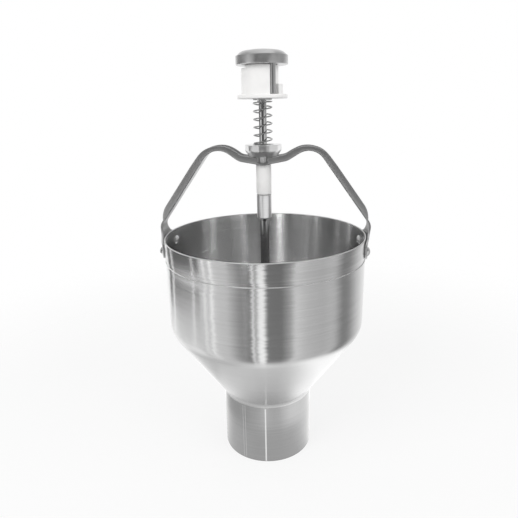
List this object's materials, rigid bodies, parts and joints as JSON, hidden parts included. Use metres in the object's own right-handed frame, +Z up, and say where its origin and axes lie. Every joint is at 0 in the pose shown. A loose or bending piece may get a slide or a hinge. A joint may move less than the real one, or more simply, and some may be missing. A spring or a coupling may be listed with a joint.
{
  "type": "batter dispenser",
  "caption": "Hand batter dispenser: steel hopper with a cone and wide nozzle, riveted handle, sprung plunger with forming disc, stepped dial and palm cap.",
  "frame": {"origin": "middle of the nozzle's mouth, which is the lowest point", "axes": "+Z up along the plunger's axis, handle arms along X, front at -Y"},
  "size_m": [0.2076, 0.2, 0.408],
  "materials": {
    "hopper_steel": "brushed",
    "nozzle_steel": "satin",
    "handle_steel": "satin",
    "rivet_steel": "satin",
    "polished_steel": "polished",
    "spring_steel": "drawn wire",
    "nut_steel": "plated",
    "white_nylon": "turned",
    "piston_metal": "turned",
    "seal_rubber": "matte",
    "cap_metal": "turned satin"
  },
  "bodies": {
    "frame": {"hopper_bowl": "hopper_steel", "nozzle_tube": "nozzle_steel", "handle_arm_right": "handle_steel", "handle_arm_left": "handle_steel", "foot_rivets_right": "rivet_steel", "foot_rivets_left": "rivet_steel", "hub_collar": "polished_steel", "guide_bush": "white_nylon", "return_spring": "spring_steel"},
    "plunger": {"plunger_tube_upper": "polished_steel", "coupling_sleeve": "polished_steel", "plunger_tube_lower": "polished_steel", "spring_seat": "polished_steel", "size_dial": "white_nylon", "dial_lock_nut": "nut_steel", "rod_bush_upper": "white_nylon", "piston": "piston_metal", "piston_seal": "seal_rubber", "piston_nut_upper": "nut_steel", "piston_nut_lower": "nut_steel", "rod_bush_lower": "white_nylon"},
    "centre_rod": {"centre_rod": "polished_steel", "cap_jam_nut": "nut_steel", "forming_disc": "piston_metal", "disc_jam_nut": "nut_steel", "disc_dome_nut": "nut_steel"},
    "palm_cap": {"palm_cap": "cap_metal", "stop_pin": "polished_steel"}
  },
  "joints": [
    {"name": "plunger_press", "type": "slide", "parent": "frame", "child": "plunger", "axis": [0, 0, -1], "range_m": [0, 0.026], "stiffness_N_per_m": 800, "springref_m": -0.015, "deforming": ["return_spring"]},
    {"name": "cap_lift", "type": "slide", "parent": "plunger", "child": "centre_rod", "axis": [0, 0, 1], "range_m": [0, 0.045]},
    {"name": "cap_turn", "type": "hinge", "parent": "centre_rod", "child": "palm_cap", "pos_m": [0, 0, 0.4], "axis": [0, 0, 1], "range_deg": [0, 45.01]}
  ],
  "couplings": [
    {"joint": "cap_turn", "follows": "cap_lift", "rad_per_m": 17.453}
  ]
}
